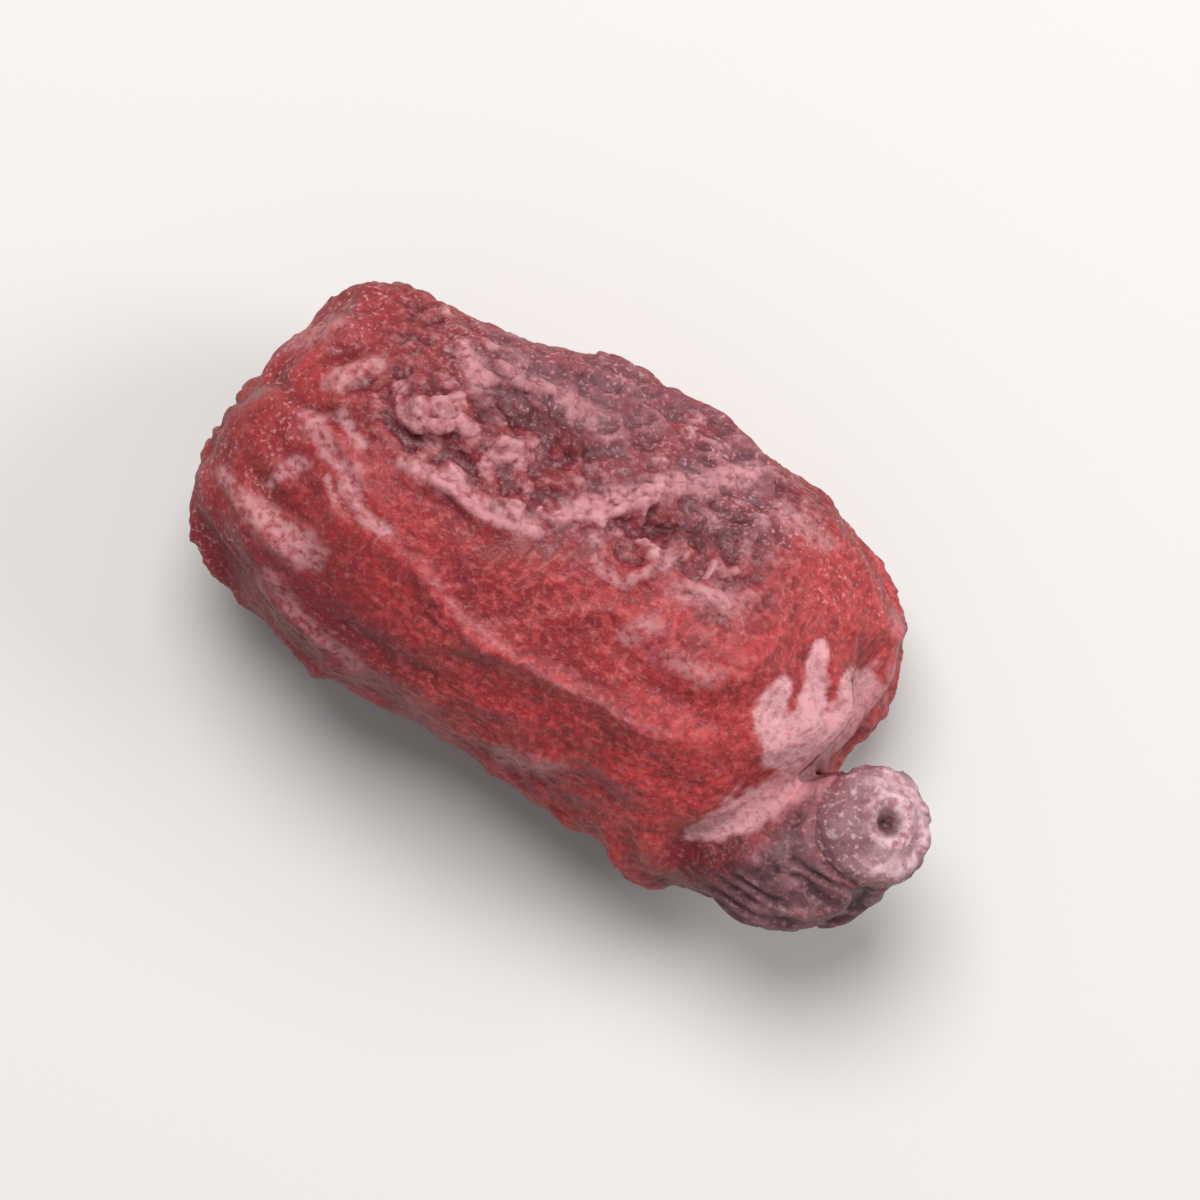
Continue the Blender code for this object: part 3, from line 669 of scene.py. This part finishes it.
# Painted shade towards the stalk and on the lower flank near it.
colour = painted(colour, DEEP_AND_SHADE_RED, marked("shaded_stalk_half"), 0.45)
colour = painted(colour, BLOTCH_AND_SHADE_RED, marked("shaded_lower_left"), 0.7)
# Painted shade: skin that faces down is darkened.
colour = painted(colour, UNDERSIDE_SHADE_RED, marked("upward", 0.75, 0.0))
# Painted shade: the narrow valleys, most of all on the wrinkled flank, get the dark furrow reds.
furrow = painted(FURROW_SHADE_RED, VALLEY_SHADE_RED, marked("greyed"), 0.9)
colour = painted(colour, furrow, marked("valley"), marked("wormy", 0.45, 0.88))
# The ridges are painted pale, partly as dry, scuffed skin and partly as painted sheen.
scuffed_and_sheen = marked("ridge")
for broken in (blotches(0.45, 0.42, 0.60, least=0.05), blotches(0.08, 0.30, 0.60, least=0.3)):
    scuffed_and_sheen = add("ShaderNodeMath", {0: scuffed_and_sheen, 1: broken}, **MULTIPLY).outputs[0]
colour = painted(colour, RIDGE_PINK_AND_SHEEN, scuffed_and_sheen, marked("wormy", 0.09, 0.80))
print("nodes with the wrinkles:", len(tree.nodes))

# %% [markdown]
# Grey bloom and fine dust lie over the reds, most of all along the far upper edge, and the dry strokes
# with their painted highlights and the painted shade of the hollows are laid over the bloom.

# %% Bloom, dust and dry strokes
SCUFFED_GREY = linear("#A67F84")
GREYED_RED = linear("#6F4A52")
DRY_AND_HIGHLIGHT_PINK = linear("#C48A8E")

bloom = blotches(0.10, 0.50, 0.64, detail=4.0, roughness=0.65)
colour = painted(colour, SCUFFED_GREY, bloom, marked("wormy"), 0.40)
colour = painted(colour, GREYED_RED, marked("greyed"), 0.62)
# Painted shade in the hollows.
colour = painted(colour, VALLEY_SHADE_RED, marked("hollow"), 0.62)
dust = blotches(0.055, 0.54, 0.68, detail=2.0, roughness=0.6)
colour = painted(colour, DRY_AND_HIGHLIGHT_PINK, dust, marked("dusty", 0.22, 0.75))
# The pale strokes: partly dry skin, partly painted highlight.
colour = painted(colour, DRY_AND_HIGHLIGHT_PINK, marked("dry_and_highlight"), blotches(0.09, 0.32, 0.60, least=0.15), 0.78)
print("nodes with the dust:", len(tree.nodes))

# %% [markdown]
# The knob isn't red. Its neck is a greyish rose, painted lighter on top and in painted shade underneath
# and in its valleys, the flap of skin beside it is pale and papery, and the disc is pale too, with its
# pit painted dark as shade.

# %% Neck and flap
NECK_ROSE = linear("#84595F")
NECK_SHADE = linear("#472A30")
FLAP_PINK = linear("#D6A0A4")
FLAP_SPECK = linear("#AE6C72")

pale_specks = blotches(0.07, 0.52, 0.66, detail=2.0, roughness=0.6)
rosy = blotches(0.3, 0.36, 0.62, least=1.0, most=0.35, detail=4.0)
# Painted light and shade: the neck is rose where it faces up and dark where it faces down, its valleys
# are painted darker as shade, and pale specks are added mostly on its top.
neck_colour = painted(NECK_SHADE, NECK_ROSE, marked("upward"), rosy)
neck_colour = painted(neck_colour, NECK_SHADE, marked("valley"), 0.6)
neck_colour = painted(neck_colour, DRY_AND_HIGHLIGHT_PINK, pale_specks, marked("upward", 0.05, 0.28))
colour = painted(colour, neck_colour, marked("neck"))
flap_colour = painted(FLAP_PINK, FLAP_SPECK, blotches(0.08, 0.48, 0.64), 0.60)
colour = painted(colour, flap_colour, marked("flaps"), 0.90)
print("nodes with the neck:", len(tree.nodes))

# %% Disc and scar
DISC_ROSE = linear("#9C6D73")
DISC_EDGE = linear("#7F545B")
DISC_PINK_AND_HIGHLIGHT = linear("#CFABB0")
DISC_SPECK = linear("#D9BDC1")
SCAR_TAN = linear("#8F6A63")
SCAR_BROWN = linear("#5A3230")

# Painted shade: the disc's left side, its valleys and its pit are darkened, and so are the scar's
# valleys. The disc's raised ring and warts are painted paler, partly its own pale colour and partly
# painted highlight.
disc_colour = painted(DISC_EDGE, DISC_ROSE, marked("disc_face"))
warts = blotches(0.12, 0.36, 0.56, detail=4.0)
disc_colour = painted(disc_colour, DISC_PINK_AND_HIGHLIGHT, marked("disc_face"), marked("ridge", 0.55, 1.0), warts)
disc_colour = painted(disc_colour, NECK_ROSE, marked("disc_shade"), 0.95)
disc_colour = painted(disc_colour, NECK_ROSE, marked("valley"), 0.6)
disc_colour = painted(disc_colour, DISC_SPECK, pale_specks, 0.42)
disc_colour = painted(disc_colour, VALLEY_SHADE_RED, marked("pit"), 0.7)
colour = painted(colour, disc_colour, marked("disc"))
scar_colour = painted(SCAR_TAN, SCAR_BROWN, blotches(0.13, 0.40, 0.60, detail=4.0, roughness=0.65))
scar_colour = painted(scar_colour, VALLEY_SHADE_RED, marked("valley"))
colour = painted(colour, scar_colour, marked("scar"), 0.80)
tree.links.new(colour, shader.inputs["Base Color"])
print("nodes for the colour:", len(tree.nodes))

# %% [markdown]
# The gloss and the finest relief come last. The skin is satin, and rougher where it is scuffed or
# papery. Crinkles of about 0.1 mm and pores of about 0.05 mm are too small for the mesh, so they are
# bump only. Their size is real, and at this distance they show as a fine grain in the highlights.

# %% Roughness
rough = blotches(0.35, 0.3, 0.7, least=0.40, most=0.52, detail=4.0)
for duller, by in ((scuffed_and_sheen, 0.22), (marked("flaps"), 0.20)):
    terms = {0: duller, 1: by, 2: rough}
    rough = add("ShaderNodeMath", terms, operation="MULTIPLY_ADD", use_clamp=True).outputs[0]
tree.links.new(rough, shader.inputs["Roughness"])
print("nodes with the roughness:", len(tree.nodes))

# %% Crinkles and pores
CRINKLE_MM = 0.11
CRINKLE_DEPTH = 0.00005
PORE_MM = 0.045
PORE_DEPTH = 0.000012

crinkle_grain = {"Vector": place, "Scale": 1 / (CRINKLE_MM * 0.001), "Detail": 4.0, "Roughness": 0.6}
crinkle_height = add("ShaderNodeTexNoise", crinkle_grain).outputs["Fac"]
crinkle_bump = {"Height": crinkle_height, "Strength": 0.55, "Distance": CRINKLE_DEPTH}
crinkles = add("ShaderNodeBump", crinkle_bump).outputs["Normal"]
pore_grain = {"Vector": place, "Scale": 1 / (PORE_MM * 0.001), "Detail": 2.0, "Roughness": 0.5}
pore_height = add("ShaderNodeTexNoise", pore_grain).outputs["Fac"]
pore_bump = {"Height": pore_height, "Normal": crinkles, "Strength": 0.45, "Distance": PORE_DEPTH}
pores = add("ShaderNodeBump", pore_bump).outputs["Normal"]
tree.links.new(pores, shader.inputs["Normal"])
print("material nodes:", len(tree.nodes))

# %% [markdown]
# Light that enters the skin comes out a fraction of a millimetre away, and red light travels furthest
# in it, so the scattering radius is longest for red. An IOR of 1.42 is typical of plant skin.

# %% Scattering under the skin
shader.inputs["IOR"].default_value = 1.42
shader.inputs["Specular IOR Level"].default_value = 0.38
shader.inputs["Subsurface Weight"].default_value = 0.25
shader.inputs["Subsurface Radius"].default_value = (1.0, 0.22, 0.16)
shader.inputs["Subsurface Scale"].default_value = 0.00035
berry_mesh.materials.clear()
berry_mesh.materials.append(dried_skin)
print("red scatters, mm:", round(shader.inputs["Subsurface Scale"].default_value * 1000, 2))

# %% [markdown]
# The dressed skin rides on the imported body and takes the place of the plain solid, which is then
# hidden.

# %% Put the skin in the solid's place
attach(berry_skin, "root")
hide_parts("berry")
print("vertices handed over:", len(berry_mesh.vertices))

# %% [markdown]
# ## Floor, light and camera
# The fruit lies on matt white paper, whose rough face gives no highlight. A large soft light stands
# nearly overhead, towards the picture's upper edge, a weaker one fills from the right, and a dim pale
# world keeps the shadows open, as in a light tent. The camera looks straight down through a long
# lens, which keeps the perspective flat, and it is rolled, so that the fruit slants from upper left
# to lower right.

# %% A pale floor
HALF_FLOOR = 0.25

paper = bpy.data.materials.new("matt_white_paper")
paper.use_nodes = True
paper.node_tree.nodes["Principled BSDF"].inputs["Base Color"].default_value = linear("#DAD7D4")
paper.node_tree.nodes["Principled BSDF"].inputs["Roughness"].default_value = 0.85
floor_shape = bmesh.new()
bmesh.ops.create_grid(floor_shape, x_segments=1, y_segments=1, size=HALF_FLOOR)
floor_mesh = bpy.data.meshes.new("floor")
floor_shape.to_mesh(floor_mesh)
floor_shape.free()
floor_mesh.materials.append(paper)
floor = bpy.data.objects.new("floor", floor_mesh)
bpy.context.scene.collection.objects.link(floor)
print("floor, mm:", round(HALF_FLOOR * 2000))

# %% Soft lights
LIGHT_DISTANCE = 0.12
picture_right = Vector(PICTURE_RIGHT)
picture_up = Vector((-math.sin(ROLL), math.cos(ROLL), 0))
overhead = Vector((0, 0, 1))
middle = Vector((0, 0, 0.002))


def soft_light(name, direction, size, watts):
    """A round area light that looks at the fruit from the given direction."""
    light = bpy.data.lights.new(name, "AREA")
    light.shape = "DISK"
    light.size = size
    light.energy = watts
    holder = bpy.data.objects.new(name, light)
    bpy.context.scene.collection.objects.link(holder)
    holder.location = middle + direction.normalized() * LIGHT_DISTANCE
    holder.rotation_euler = direction.to_track_quat("Z", "Y").to_euler()


soft_light("key", -picture_right * 0.05 + picture_up * 0.70 + overhead * 1.40, size=0.070, watts=0.140)
soft_light("fill", picture_right * 1.0 + picture_up * 0.15 + overhead * 0.75, size=0.060, watts=0.058)
print("lights:", [light.name for light in bpy.data.lights])

# %% A dim pale world
world = bpy.data.worlds.new("light_tent")
bpy.context.scene.world = world
world.use_nodes = True
world.node_tree.nodes["Background"].inputs["Color"].default_value = linear("#F0F2F4")
world.node_tree.nodes["Background"].inputs["Strength"].default_value = 0.32
print("world:", world.name)

# %% Camera
FRAME_WIDTH = 0.0130
camera_data = bpy.data.cameras.new("camera")
camera_data.lens = 200
camera_data.sensor_width = 36
camera_data.clip_start = 0.001
camera_data.clip_end = 2
camera = bpy.data.objects.new("camera", camera_data)
bpy.context.scene.collection.objects.link(camera)
distance = FRAME_WIDTH / 2 / (camera_data.sensor_width / 2 / camera_data.lens)
axes = Matrix((picture_right, picture_up, overhead)).transposed().to_4x4()
camera.matrix_world = Matrix.Translation(middle + overhead * distance) @ axes
bpy.context.scene.camera = camera
bpy.context.scene.view_settings.view_transform = "Standard"
print("camera height, mm:", round(distance * 1000, 1))
